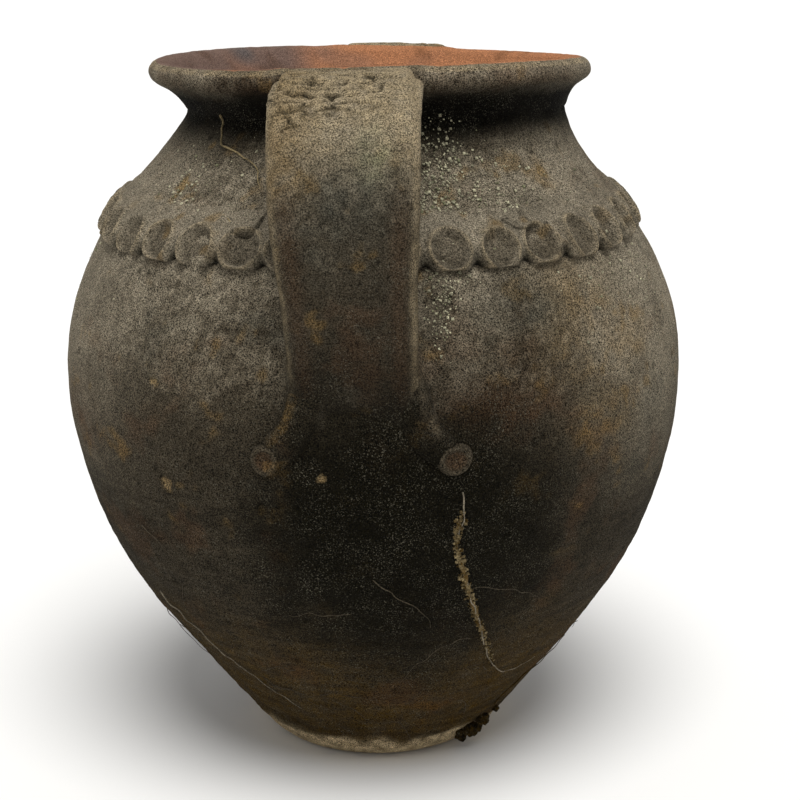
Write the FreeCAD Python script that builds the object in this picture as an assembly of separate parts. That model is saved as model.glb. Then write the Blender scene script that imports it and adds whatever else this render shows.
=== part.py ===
import FreeCAD, Part
import math
import os

# A hand-built clay pot with a thumbed band and two strap handles.
# Millimetres, +Z up, origin at the centre of the underside. The handles lie on -Y (front) and
# +Y (back). The pot was built up from separate clay pieces, luted together before it was fired,
# so every piece here is its own solid and meets its neighbours face to face.

Vector = FreeCAD.Vector
ORIGIN = Vector(0, 0, 0)
UP = Vector(0, 0, 1)

# Driving dimensions of the vessel
RIM_HEIGHT = 380.0
FOOT_RADIUS = 56.0
FOOT_EDGE_HEIGHT = 7.6
FLOOR_THICKNESS = 11.0
FLOOR_RADIUS = 54.5
WALL_THICKNESS = 8.5
NECK_RADIUS = 101.6
NECK_HEIGHT = 352.5

# Outer face of the wall from the edge of the foot to the neck, as (radius, height)
WALL_OUTER = [
    (67.0, FOOT_EDGE_HEIGHT),
    (76.5, 19.0),
    (91.2, 38.0),
    (120.3, 76.0),
    (144.3, 114.0),
    (159.2, 152.0),
    (169.0, 209.0),
    (164.6, 247.0),
    (151.6, 280.0),
    (131.5, 311.0),
    (112.6, 333.5),
    (NECK_RADIUS, NECK_HEIGHT),
]

# Everted lip, as (radius, height). Outside, upwards: the hollow under it, its sharp lower corner,
# its widest point and its top. Inside, downwards: top edge, rounding, mouth and hollow to the neck.
LIP_HOLLOW = (106.8, 363.0)
LIP_CORNER = (115.8, 369.5)
LIP_WIDEST = (118.2, 373.5)
LIP_TOP = (114.0, RIM_HEIGHT)
LIP_INNER_TOP = (112.0, RIM_HEIGHT)
LIP_ROUNDING = (106.7, 379.1)
MOUTH = (103.7, 376.0)
MOUTH_HOLLOW = (96.5, 365.5)

# The courses of the wall from the foot up, each with the luted seam at its top:
# (radius on the outer face, height there, rise per mm towards the axis). The rim is above them.
WALL_SEAMS = [
    ("base_slab", (67.0, FOOT_EDGE_HEIGHT, 0.45)),
    ("lower_wall", (139.3, 105.0, 0.8)),
    ("belly_wall", (169.0, 205.0, 0.8)),
    ("shoulder_wall", (141.0, 296.0, 0.0)),
    ("neck_wall", (NECK_RADIUS, NECK_HEIGHT + 1.5, 0.5)),
]

# Thumbed band, a coil laid over the shoulder seam in two lengths, which butt behind the handles
# Its section, as (height, how proud of the wall): lower edge, crown and smeared upper edge
BAND_UNDER = (286.0, 4.0)
BAND_CROWN = (294.0, 6.0)
BAND_UPPER = (307.0, 0.5)
BAND_JOINT_ANGLE = 4.5
THUMB_MARKS_PER_HALF = 18
THUMB_RADIUS = 14.0
THUMB_HEIGHT = 296.0
THUMB_FLOOR_PROUD = 2.0

# Strap handle: stations along the strap's middle, as (radius, height, width, thickness)
STRAP_STATIONS = [
    (106.0, 371.5, 64.0, 14.0),
    (124.0, 374.0, 69.0, 15.5),
    (146.0, 370.5, 71.0, 16.0),
    (164.0, 357.5, 70.0, 16.0),
    (174.5, 338.0, 69.0, 16.0),
    (178.5, 314.0, 67.0, 16.0),
    (177.0, 287.0, 63.5, 16.0),
    (171.5, 261.0, 61.5, 16.5),
    (164.0, 237.0, 59.0, 17.0),
    (155.0, 215.0, 58.0, 18.0),
]
STRAP_LEAN = 5.2
BACK_HANDLE_TURN = -2.5

# Fillet coils beside each handle root, and the pellets pressed on their ends
COIL_RADIUS = 6.5
COIL_ANGLES = (7.6, 9.8, 15.3)
COIL_HEIGHTS = (241.0, 220.0, 202.5)
COIL_PROUD = (2.0, 0.0, -1.5)
PELLET_RADIUS = 7.2
PELLET_PROUD = 4.0
PELLET_DISH_RADIUS = 12.0
PELLET_DISH_DEPTH = 1.4
ROOT_TURN = 2.2

# How far a piece laid on the wall is first made to reach into it, before it is trimmed to the face
LAID_DEPTH = 5.0
BEYOND = 400.0


def smooth_curve(points):
    """A smooth curve through (radius, height) points in the XZ half-plane."""
    curve = Part.BSplineCurve()
    curve.interpolate([Vector(radius, 0, height) for radius, height in points])
    return curve


def inner_points(outer):
    """Points of the inner face: the outer curve's points, moved in by the wall's thickness."""
    points = []
    for radius, height in WALL_OUTER:
        tangent = outer.tangent(outer.parameter(Vector(radius, 0, height)))[0]
        points.append((radius - WALL_THICKNESS * tangent.z, height + WALL_THICKNESS * tangent.x))
    return points


def line(start, end):
    return Part.makeLine(Vector(start[0], 0, start[1]), Vector(end[0], 0, end[1]))


def arc(start, middle, end):
    return Part.Arc(*(Vector(radius, 0, height) for radius, height in (start, middle, end))).toShape()


def spin(edges, turn=360.0):
    """The solid that a closed outline in the XZ half-plane sweeps about the pot's axis."""
    face = Part.Face(Part.Wire(Part.__sortEdges__(edges)))
    return face.revolve(ORIGIN, UP, turn)


def filled_vessel(outer):
    """The pot's outer form without any hollow, used to trim what is laid on the wall."""
    edges = [line((0, 0), (FOOT_RADIUS, 0)), line((FOOT_RADIUS, 0), WALL_OUTER[0])]
    edges += [outer.toShape(), arc(WALL_OUTER[-1], LIP_HOLLOW, LIP_CORNER)]
    edges += [arc(LIP_CORNER, LIP_WIDEST, LIP_TOP)]
    edges += [line(LIP_TOP, (0, RIM_HEIGHT)), line((0, RIM_HEIGHT), (0, 0))]
    return spin(edges)


def hollow_of_vessel(outer):
    """The space inside the pot, from its floor to above the mouth."""
    floor_corner = (FLOOR_RADIUS, FLOOR_THICKNESS)
    neck = (NECK_RADIUS - WALL_THICKNESS, NECK_HEIGHT)
    inside = smooth_curve([floor_corner] + inner_points(outer)[1:-1] + [neck])
    above = RIM_HEIGHT + LAID_DEPTH
    edges = [line((0, FLOOR_THICKNESS), floor_corner), inside.toShape()]
    edges += [arc(neck, MOUTH_HOLLOW, MOUTH), arc(MOUTH, LIP_ROUNDING, LIP_INNER_TOP)]
    edges += [line(LIP_INNER_TOP, (LIP_INNER_TOP[0], above))]
    edges += [line((LIP_INNER_TOP[0], above), (0, above)), line((0, above), (0, FLOOR_THICKNESS))]
    return spin(edges)


def below(seam):
    """Everything under a seam's cone."""
    radius, height, rise = seam
    at_axis = height + radius * rise
    at_far = height + (radius - BEYOND) * rise
    corners = [(0, -BEYOND), (BEYOND, -BEYOND), (BEYOND, at_far), (0, at_axis)]
    edges = [line(corners[i], corners[(i + 1) % 4]) for i in range(4)]
    return spin(edges)


def wall_pieces(outer):
    """The vessel, cut at its seams into the floor, four courses of wall and the rim."""
    rest = filled_vessel(outer).cut(hollow_of_vessel(outer))
    pieces = {}
    for name, seam in WALL_SEAMS:
        cutter = below(seam)
        pieces[name] = rest.common(cutter)
        rest = rest.cut(cutter)
    pieces["rim_coil"] = rest
    return pieces


def on_wall(outer, angle, height, proud=0.0):
    """A point on the outer face, at an angle from the front towards +X, and its outward normal."""
    level = Part.Line(Vector(0, 0, height), Vector(1, 0, height))
    hit = outer.intersect(level)[0]
    at = Vector(hit.X, 0, hit.Z)
    tangent = outer.tangent(outer.parameter(at))[0]
    normal = Vector(tangent.z, 0, -tangent.x)
    turn = FreeCAD.Rotation(UP, angle - 90.0)
    return turn.multVec(at + normal * proud), turn.multVec(normal)


def band_half(outer, filled, start_angle):
    """Half of the thumbed band: a rounded coil with a row of dished thumb marks."""
    low = on_wall(outer, 90.0, BAND_UNDER[0], -LAID_DEPTH)[0]
    high = on_wall(outer, 90.0, BAND_UPPER[0], -LAID_DEPTH)[0]
    under, crown, upper = (on_wall(outer, 90.0, *at)[0] for at in (BAND_UNDER, BAND_CROWN, BAND_UPPER))
    edges = [Part.makeLine(low, under), Part.Arc(under, crown, upper).toShape()]
    edges += [Part.makeLine(upper, high), Part.makeLine(high, low)]
    coil = spin(edges, 180.0)
    coil.rotate(ORIGIN, UP, start_angle - 90.0)
    marks = []
    for index in range(THUMB_MARKS_PER_HALF):
        angle = start_angle + (index + 0.5) * 180.0 / THUMB_MARKS_PER_HALF
        centre = on_wall(outer, angle, THUMB_HEIGHT, THUMB_RADIUS + THUMB_FLOOR_PROUD)[0]
        marks.append(Part.makeSphere(THUMB_RADIUS, centre))
    return coil.cut(filled).cut(marks)


def strap_section(centre, across, width, thickness):
    """A flat strap's cross-section with round edges, at right angles to the strap's run."""
    side = Vector(width / 2.0 - thickness / 2.0, 0, 0)
    edge = Vector(thickness / 2.0, 0, 0)
    out = across * (thickness / 2.0)
    edges = [
        Part.makeLine(centre - side + out, centre + side + out),
        Part.Arc(centre + side + out, centre + side + edge, centre + side - out).toShape(),
        Part.makeLine(centre + side - out, centre - side - out),
        Part.Arc(centre - side - out, centre - side - edge, centre - side + out).toShape(),
    ]
    return Part.Wire(edges)


def strap(filled):
    """A strap handle at the front, from the lip down to the belly, leaning a little to +X."""
    top = STRAP_STATIONS[0][1]
    foot = STRAP_STATIONS[-1][1]
    centres = []
    for radius, height, _, _ in STRAP_STATIONS:
        lean = STRAP_LEAN * (top - height) / (top - foot)
        centres.append(Vector(lean, -radius, height))
    run = Part.BSplineCurve()
    run.interpolate(centres)
    sections = []
    for centre, (_, _, width, thickness) in zip(centres, STRAP_STATIONS):
        tangent = run.tangent(run.parameter(centre))[0]
        across = Vector(1, 0, 0).cross(tangent)
        across.normalize()
        sections.append(strap_section(centre, across, width, thickness))
    return Part.makeLoft(sections, True).cut(filled)


def root_coil(outer, filled, handle, side):
    """The coil that fills the corner between a handle's root and the belly, on one side."""
    points = []
    for angle, height, proud in zip(COIL_ANGLES, COIL_HEIGHTS, COIL_PROUD):
        points.append(on_wall(outer, ROOT_TURN + side * angle, height, proud)[0])
    run = Part.Arc(*points)
    section = Part.Circle(points[0], run.tangent(run.FirstParameter)[0], COIL_RADIUS)
    pipe = Part.Wire(run.toShape()).makePipeShell([Part.Wire(section.toShape())], True, False)
    return pipe.cut(filled).cut(handle)


def pellet(outer, filled, neighbours, side):
    """A pellet pressed flat with a thumb on the end of a root coil."""
    angle = ROOT_TURN + side * COIL_ANGLES[-1]
    centre, normal = on_wall(outer, angle, COIL_HEIGHTS[-1], 0.0)
    start = centre - normal * LAID_DEPTH
    disc = Part.makeCylinder(PELLET_RADIUS, LAID_DEPTH + PELLET_PROUD, start, normal)
    reach = PELLET_PROUD + PELLET_DISH_RADIUS - PELLET_DISH_DEPTH
    dish = Part.makeSphere(PELLET_DISH_RADIUS, centre + normal * reach)
    return disc.cut(filled).cut(dish).cut(neighbours)


def handle_group(outer, filled, place):
    """One handle with its two root coils and two pellets, as a dictionary of solids."""
    handle = strap(filled)
    group = {f"handle_{place}": handle}
    for side_name, side in (("left", -1), ("right", 1)):
        coil = root_coil(outer, filled, handle, side)
        group[f"root_coil_{place}_{side_name}"] = coil
        group[f"pellet_{place}_{side_name}"] = pellet(outer, filled, [handle, coil], side)
    return group


def build():
    outer = smooth_curve(WALL_OUTER)
    filled = filled_vessel(outer)
    nodes = wall_pieces(outer)
    nodes["thumbed_band_right"] = band_half(outer, filled, BAND_JOINT_ANGLE)
    nodes["thumbed_band_left"] = band_half(outer, filled, BAND_JOINT_ANGLE + 180.0)
    nodes.update(handle_group(outer, filled, "front"))
    back = handle_group(outer, filled, "back")
    for shape in back.values():
        shape.rotate(ORIGIN, UP, 180.0 + BACK_HANDLE_TURN)
    nodes.update(back)
    return nodes


def main():
    os.makedirs("parts", exist_ok=True)
    for name, shape in build().items():
        if not shape.isValid() or len(shape.Solids) != 1:
            print(f"{name}: {len(shape.Solids)} solids, valid {shape.isValid()}")
        box = shape.optimalBoundingBox()
        print(f"{name}: volume {shape.Volume / 1000.0:.1f} cm3, z {box.ZMin:.1f} to {box.ZMax:.1f}")
        shape.exportStep(f"parts/{name}.step")


main()
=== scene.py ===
import math

import bpy
import numpy as np
from mathutils import Matrix, Vector
from mathutils.bvhtree import BVHTree


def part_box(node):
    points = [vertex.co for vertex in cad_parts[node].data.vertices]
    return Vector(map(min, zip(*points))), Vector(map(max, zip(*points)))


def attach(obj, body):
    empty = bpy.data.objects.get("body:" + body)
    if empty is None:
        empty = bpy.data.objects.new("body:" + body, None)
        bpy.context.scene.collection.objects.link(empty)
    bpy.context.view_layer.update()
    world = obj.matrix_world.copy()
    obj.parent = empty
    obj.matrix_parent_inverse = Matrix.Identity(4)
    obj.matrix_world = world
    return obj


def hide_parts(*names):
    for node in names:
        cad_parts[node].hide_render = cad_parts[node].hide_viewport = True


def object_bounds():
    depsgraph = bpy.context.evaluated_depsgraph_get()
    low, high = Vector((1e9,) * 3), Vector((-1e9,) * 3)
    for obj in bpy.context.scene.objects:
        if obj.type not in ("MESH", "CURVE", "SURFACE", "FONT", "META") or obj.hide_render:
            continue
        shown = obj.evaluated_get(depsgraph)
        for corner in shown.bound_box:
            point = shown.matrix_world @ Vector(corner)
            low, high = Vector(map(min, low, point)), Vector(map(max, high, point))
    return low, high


# A hand-built clay pot with a thumbed band and two strap handles. Metres, +Z up, in the frame of
# the CAD model. A place on the pot is given by its turn (degrees from the front, -Y, towards +X)
# and its height. All noise comes from hashed lattice points, so each run gives the same result.

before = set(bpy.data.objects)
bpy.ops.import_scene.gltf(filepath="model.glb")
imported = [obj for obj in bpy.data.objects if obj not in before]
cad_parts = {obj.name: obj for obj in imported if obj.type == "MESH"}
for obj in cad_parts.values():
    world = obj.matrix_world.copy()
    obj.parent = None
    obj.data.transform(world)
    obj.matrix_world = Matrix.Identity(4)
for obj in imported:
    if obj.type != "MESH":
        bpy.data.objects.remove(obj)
cad_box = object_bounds()

MM = 0.001
TAU = 2 * math.pi
COLUMNS = 720
OUTER_STEP = 1.4 * MM
LIP_STEP = 0.8 * MM
MOUTH_STEP = 2.0 * MM
INNER_STEP = 4.5 * MM
WALL_NODES = ["base_slab", "lower_wall", "belly_wall", "shoulder_wall", "neck_wall", "rim_coil"]


# ---------------------------------------------------------------- noise

def hashed(lattice, seed):
    """A repeatable number from 0 to 1 for each lattice point."""
    key = (lattice % 65536).astype(np.uint32)
    mixed = key[..., 0] * np.uint32(374761393) + key[..., 1] * np.uint32(668265263)
    mixed = mixed + key[..., 2] * np.uint32(2246822519) + np.uint32(seed * 40503 + 977)
    mixed = (mixed ^ (mixed >> np.uint32(13))) * np.uint32(1274126177)
    mixed = (mixed ^ (mixed >> np.uint32(16))) * np.uint32(2654435769)
    mixed = mixed ^ (mixed >> np.uint32(15))
    return (mixed & np.uint32(0xFFFFFF)).astype(np.float64) / 0x1000000


def noise(points, size, seed):
    """Smooth noise, about -1 to 1, whose bumps are about size mm wide."""
    scaled = points / (size * MM)
    lattice = np.floor(scaled).astype(np.int64)
    within = scaled - lattice
    fade = within * within * within * (within * (within * 6 - 15) + 10)
    total = np.zeros(points.shape[:-1])
    for corner in np.ndindex(2, 2, 2):
        offset = np.array(corner)
        slope = [hashed(lattice + offset, 3 * seed + axis) * 2 - 1 for axis in range(3)]
        away = within - offset
        value = slope[0] * away[..., 0] + slope[1] * away[..., 1] + slope[2] * away[..., 2]
        total += value * np.prod(np.where(offset, fade, 1 - fade), axis=-1)
    return total * 1.9


def scattered(points, size, seed):
    """Distance to the nearest of some dots about size mm apart, over size, and that dot's number."""
    scaled = points / (size * MM)
    lattice = np.floor(scaled).astype(np.int64)
    nearest = np.full(points.shape[:-1], 9.0)
    number = np.zeros(points.shape[:-1])
    for neighbour in np.ndindex(3, 3, 3):
        cell = lattice + np.array(neighbour) - 1
        dot = np.stack([hashed(cell, seed + axis) for axis in range(3)], axis=-1) + cell
        distance = np.linalg.norm(scaled - dot, axis=-1)
        closer = distance < nearest
        nearest = np.where(closer, distance, nearest)
        number = np.where(closer, hashed(cell, seed + 3), number)
    return nearest, number


def smooth_step(value, low, high):
    share = np.clip((value - low) / (high - low), 0, 1)
    return share * share * (3 - 2 * share)


def ring_of(count):
    """Angles round a full circle, in radians."""
    return np.linspace(0, TAU, count, endpoint=False)


def turn_of(points):
    """The turn of some points about the pot's axis, in degrees."""
    return np.degrees(np.arctan2(points[..., 0], -points[..., 1]))


def beside_path(path, normals):
    """The sideways direction along a path that lies on the wall."""
    tangent = np.gradient(path, axis=0)
    tangent /= np.linalg.norm(tangent, axis=1, keepdims=True)
    return np.cross(normals, tangent)


def about_path(beside, normals, ring):
    """The outward directions of the rings of a tube along a path."""
    return np.cos(ring)[None, :, None] * beside[:, None] + np.sin(ring)[None, :, None] * normals[:, None]


def wrapped(degrees):
    """The same turn, from -180 to 180 degrees."""
    return (degrees + 180) % 360 - 180


def bump(value, centre, width):
    return np.exp(-(((value - centre) / width) ** 2))


# ---------------------------------------------------------------- the pot's outline, from the frame

def tree_of(nodes):
    """A search tree over the CAD meshes of some nodes."""
    vertices, faces = [], []
    for node in nodes:
        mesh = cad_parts[node].data
        faces += [[len(vertices) + i for i in face.vertices] for face in mesh.polygons]
        vertices += [vertex.co.copy() for vertex in mesh.vertices]
    return BVHTree.FromPolygons(vertices, faces)


wall_tree = tree_of(WALL_NODES)
rim_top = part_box("rim_coil")[1].z
seam_outside = {node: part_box(node)[0].z for node in WALL_NODES}
seam_inside = {node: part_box(node)[1].z for node in WALL_NODES}
floor_top = 11.0 * MM
foot_radius = 56.0 * MM
FOOT_BULGE = (61.5 * MM, 2.6 * MM)
FLOOR_EDGE = (54 * MM, floor_top + 0.3 * MM)


def feel(height, inside=False):
    """Radius of the CAD wall at a height, felt sideways from outside or from the axis."""
    start = 0.0 if inside else cad_box[1][0] + 0.1
    hit = wall_tree.ray_cast(Vector((start, 0, height)), Vector((1 if inside else -1, 0, 0)))[0]
    return hit.x


def smooth_path(points, step):
    """Points about a step apart on a smooth curve through the given points."""
    points = np.array(points, float)
    along = np.concatenate([[0], np.cumsum(np.linalg.norm(np.diff(points, axis=0), axis=1))])
    slopes = np.gradient(points, along, axis=0)
    at = np.linspace(0, along[-1], 60 * len(points))
    index = np.clip(np.searchsorted(along, at, side="right") - 1, 0, len(points) - 2)
    span = (along[index + 1] - along[index])[:, None]
    share = (at - along[index])[:, None] / span
    start, end = points[index], points[index + 1]
    dense = (2 * share**3 - 3 * share**2 + 1) * start + (3 * share**2 - 2 * share**3) * end
    dense += (share**3 - 2 * share**2 + share) * span * slopes[index]
    dense += (share**3 - share**2) * span * slopes[index + 1]
    length = np.concatenate([[0], np.cumsum(np.linalg.norm(np.diff(dense, axis=0), axis=1))])
    count = max(2, round(length[-1] / step) + 1)
    even = np.linspace(0, length[-1], count)
    return np.stack([np.interp(even, length, dense[:, k]) for k in range(points.shape[1])], axis=1)


def pot_profile():
    """The whole section, from the middle of the underside round the lip to the middle of the floor."""
    foot_top = seam_outside["lower_wall"]
    neck = seam_outside["rim_coil"] - 1.5 * MM
    lip_corner = rim_top - 10.4 * MM
    wall_heights = [foot_top + 0.2 * MM] + [h * MM for h in (19, 38, 57, 76, 95, 114, 133, 152, 171)]
    wall_heights += [h * MM for h in (190, 209, 228, 247, 264, 280, 296, 311, 322, 333, 343)] + [neck]
    hollow = [neck, neck + 4 * MM, neck + 8 * MM, neck + 12 * MM, lip_corner - 0.2 * MM]
    face = [rim_top - drop * MM for drop in (10.2, 8.5, 6.5, 4.0, 2.0, 0.7)]
    mouth = [rim_top - drop * MM for drop in (0.4, 1.2, 2.5, 4.2)]
    throat = [rim_top - drop * MM for drop in (4.2, 8, 12, 17, 22, 28)]
    inner_heights = [h * MM for h in (352, 343, 333, 322, 311, 296, 280, 264, 247, 228, 209, 190)]
    inner_heights += [h * MM for h in (171, 152, 133, 114, 95, 76, 57, 40, 28, 20, 15)]
    segments = [
        smooth_path([(1.5 * MM, 0), (foot_radius, 0)], INNER_STEP),
        smooth_path([(foot_radius, 0), FOOT_BULGE, (feel(foot_top + 0.2 * MM), foot_top)], LIP_STEP),
        smooth_path([(feel(h), h) for h in wall_heights], OUTER_STEP),
        smooth_path([(feel(h), h) for h in hollow], LIP_STEP),
        smooth_path([(feel(h), h) for h in face] + [(feel(h, True), h) for h in mouth], LIP_STEP),
        smooth_path([(feel(h, True), h) for h in throat], MOUTH_STEP),
        smooth_path([(feel(h, True), h) for h in inner_heights], INNER_STEP),
        smooth_path([FLOOR_EDGE, (40 * MM, floor_top), (1.5 * MM, floor_top)], INNER_STEP),
    ]
    path = np.concatenate([segments[0]] + [segment[1:] for segment in segments[1:]])
    for _ in range(2):
        path[1:-1] = 0.25 * path[:-2] + 0.5 * path[1:-1] + 0.25 * path[2:]
    return path


profile = pot_profile()
lip_row = int(np.argmax(profile[:, 1]))
outer_profile = profile[:lip_row]
start_row = int(np.argmin(np.abs(outer_profile[:, 0] - foot_radius) + outer_profile[:, 1]))


# How far each level of the hand-built wall leans towards +X: (height, lean), both in mm
DRIFT = [
    (0, 0.2), (8, 1.1), (20, 1.6), (57, 1.1), (95, 1.1), (133, 0.4), (209, -0.35), (285, -0.65),
    (305, -1.5), (330, -0.8), (341, 0.5), (354, 3.1), (362, 1.4), (369, 0.0), (380, -1.3),
]
RIM_WARP = 1.4 * MM


def hand_built(points):
    """Leans the levels and warps the rim a little, as a pot made by hand has it."""
    heights = points[..., 2]
    levels = np.array(DRIFT) * MM
    grid = np.linspace(0, rim_top * 1.05, 400)
    drift = np.interp(grid, levels[:, 0], levels[:, 1])
    drift = np.convolve(np.pad(drift, 4, mode="edge"), np.ones(9) / 9, mode="valid")
    turn = np.arctan2(points[..., 0], -points[..., 1])
    moved = points.copy()
    moved[..., 0] += np.interp(heights, grid, drift)
    moved[..., 2] += RIM_WARP * np.sin(2 * turn) * smooth_step(heights, 0.335, 0.372)
    return moved


def outline(heights):
    """Radius and outward slope of the smooth outer wall at some heights."""
    wall = outer_profile[start_row:]
    radius = np.interp(heights, wall[:, 1], wall[:, 0])
    rise = np.gradient(wall[:, 0], wall[:, 1] + np.arange(len(wall)) * 1e-9)
    return radius, np.interp(heights, wall[:, 1], rise)


def on_wall(turn, heights):
    """Points of the smooth outer wall at some turns (radians) and heights, and their normals."""
    radius, rise = outline(heights)
    out = np.stack([np.sin(turn), -np.cos(turn), np.zeros_like(turn)], axis=-1)
    points = out * radius[..., None]
    points[..., 2] = heights
    normals = out.copy()
    normals[..., 2] = -rise
    return points, normals / np.linalg.norm(normals, axis=-1, keepdims=True)


# ---------------------------------------------------------------- handles, as straps

# Stations down a strap's middle: radius, height, width, thickness, in mm
STRAP = [
    (106, 371.5, 66, 14), (124, 374, 69.5, 15.5), (146, 370.5, 71, 16), (164, 357.5, 70, 16),
    (174.5, 338, 69, 16), (178.5, 314, 67, 16), (177, 287, 63.5, 16), (171.5, 261, 61.5, 16.5),
    (164, 237, 59, 17), (155, 215, 58, 18),
]
STRAP_LEAN = 5.2 * MM
STRAP_STEP = 0.85 * MM
MELT_REACH = 13 * MM
CROWN_LIFT = {"front": 0.0, "back": 2.0 * MM}
HANDLE_TURNS = {"front": 0.0, "back": 177.5}
FLAT_SAMPLES, ROUND_SAMPLES = 70, 26


def turned(points, degrees):
    """Points turned about the pot's axis."""
    angle = math.radians(degrees)
    east, north = math.cos(angle), math.sin(angle)
    spin = np.array([[east, -north, 0], [north, east, 0], [0, 0, 1]])
    return points @ spin.T


def strap_grid(step):
    """A strap at the front: its points, normals, places across (-1 to 1), and how much each point
    faces out (1) or in (-1)."""
    stations = np.array(STRAP, float) * MM
    lean = STRAP_LEAN * (stations[0, 1] - stations[:, 1]) / (stations[0, 1] - stations[-1, 1])
    run = smooth_path(np.column_stack([lean, -stations[:, 0], stations[:, 1:]]), step)
    centres, width, thickness = run[:, :3], run[:, 3], run[:, 4]
    tangent = np.gradient(centres, axis=0)
    tangent /= np.linalg.norm(tangent, axis=1, keepdims=True)
    side = np.array([1.0, 0, 0]) - tangent[:, :1] * tangent
    side /= np.linalg.norm(side, axis=1, keepdims=True)
    out = np.cross(tangent, side)
    flat = np.linspace(-1, 1, FLAT_SAMPLES, endpoint=False)
    arc = np.linspace(0, math.pi, ROUND_SAMPLES, endpoint=False)
    straight = np.concatenate([flat, np.ones_like(arc), -flat, -np.ones_like(arc)])
    nx = np.concatenate([0 * flat, np.sin(arc), 0 * flat, -np.sin(arc)])
    ny = np.concatenate([np.ones_like(flat), np.cos(arc), -np.ones_like(flat), -np.cos(arc)])
    half = (thickness / 2)[:, None]
    x = straight[None] * ((width / 2)[:, None] - half) + nx[None] * half
    y = ny[None] * half
    points = centres[:, None] + x[..., None] * side[:, None] + y[..., None] * out[:, None]
    normals = nx[None, :, None] * side[:, None] + ny[None, :, None] * out[:, None]
    across = x / (width / 2)[:, None]
    return points, normals, across, ny[None] + 0 * across


def grid_tree(points):
    rows, columns = points.shape[:2]
    index = np.arange(rows * columns).reshape(rows, columns)
    beside = np.roll(index, -1, axis=1)
    faces = np.stack([index[:-1], beside[:-1], beside[1:], index[1:]], axis=-1).reshape(-1, 4)
    return BVHTree.FromPolygons(points.reshape(-1, 3).tolist(), faces.tolist())


strap_trees = {
    place: grid_tree(turned(strap_grid(3 * MM)[0], turn)) for place, turn in HANDLE_TURNS.items()
}


def melt(gap, reach, alike):
    """How far a surface swells where another one is smeared onto it. gap is how far off that one
    is, and alike is 1 where both face the same way."""
    return np.maximum(reach - np.abs(gap), 0) ** 2 / (4 * reach) * (1 - 0.85 * np.clip(alike, 0, 1) ** 2)


def wall_facing(points, normals):
    """1 where the normals face the same way as the outer wall there."""
    rise = outline(points[..., 2])[1]
    reach = np.hypot(points[..., 0], points[..., 1])
    out = (normals[..., 0] * points[..., 0] + normals[..., 1] * points[..., 1]) / reach
    return (out - normals[..., 2] * rise) / np.sqrt(1 + rise * rise)


def wall_gap(points):
    """Distance of points from the smooth outer wall."""
    radius, rise = outline(points[..., 2])
    return (np.hypot(points[..., 0], points[..., 1]) - radius) / np.sqrt(1 + rise * rise)


# ---------------------------------------------------------------- cracks and chips

# Cracks as (turn, height in mm) corners, with their width and depth in mm
CRACKS = [
    ([(-23.5, 302.6), (-20.4, 302.3), (-18.6, 303.6), (-18.1, 309.6)], 1.5, 2.6),
    ([(-18.1, 309.6), (-17.4, 314.0)], 0.9, 1.2),
    ([(32.8, 307.7), (34.5, 303.9), (36.5, 301.7), (39.5, 303.8), (43.0, 303.5)], 0.9, 1.5),
    ([(38.5, 303.2), (38.9, 306.8)], 0.8, 1.0),
    ([(-14.8, 297.5), (-13.2, 295.0), (-12.6, 291.5)], 0.9, 1.0),
]
# Chips that show the clay under the skin, as turn, height and radius, in mm
CHIPS = [
    (-34.8, 233.0, 2.6), (-33.3, 181.6, 4.0), (-45.7, 321.6, 4.5), (-53.8, 310.0, 4.0), (-58.0, 307.0, 3.0),
    (-44.0, 340.6, 2.4), (-4.1, 194.0, 2.4), (51.4, 327.0, 4.0), (98.0, 262.0, 4.2), (131.0, 180.0, 3.4),
    (152.0, 318.0, 3.4), (-97.0, 214.0, 3.8), (-128.0, 330.0, 3.0), (-150.0, 150.0, 4.0), (-112.0, 96.0, 3.2),
]


def crack_depth(turn, heights):
    """How deep the cracks are at some turns (degrees) and heights (metres)."""
    depth = np.zeros(turn.shape)
    reach = outline(heights)[0]
    for corners, width, deep in CRACKS:
        for (t0, h0), (t1, h1) in zip(corners, corners[1:]):
            x = np.radians(turn - t0) * reach
            y = heights - h0 * MM
            run_x, run_y = math.radians(t1 - t0) * reach, (h1 - h0) * MM
            share = np.clip((x * run_x + y * run_y) / (run_x**2 + run_y**2 + 1e-12), 0, 1)
            away = np.hypot(x - share * run_x, y - share * run_y)
            within = 1 - smooth_step(away, 0.35 * width * MM, 0.9 * width * MM)
            depth = np.maximum(depth, deep * MM * within)
    return depth


def chip_share(points, turn, heights):
    """From 0 to 1, how much of the skin is chipped off."""
    share = np.zeros(turn.shape)
    ragged = 1 + 0.45 * noise(points, 3.5, 41)
    reach = outline(heights)[0]
    for chip_turn, height, radius in CHIPS:
        away = np.hypot(np.radians(turn - chip_turn) * reach, heights - height * MM)
        share = np.maximum(share, 1 - smooth_step(away * ragged, 0.55 * radius * MM, radius * MM))
    return share


def lumps(points, scale=1.0):
    """The uneven hand-worked surface, from wide lumps down to coarse grit."""
    total = 0.5 * noise(points, 62, 1) + 0.28 * noise(points, 27, 2) + 0.15 * noise(points, 10, 3)
    total += 0.09 * noise(points, 4.5, 4) + 0.07 * noise(points, 2.4, 5)
    return total * MM * scale


def pits(points, size, share, seed):
    """Small pock marks: from 0 to 1 within a share of the cells."""
    away, number = scattered(points, size, seed)
    return (1 - smooth_step(away, 0.12, 0.34)) * (number < share)


# ---------------------------------------------------------------- colour of the skin

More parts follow.
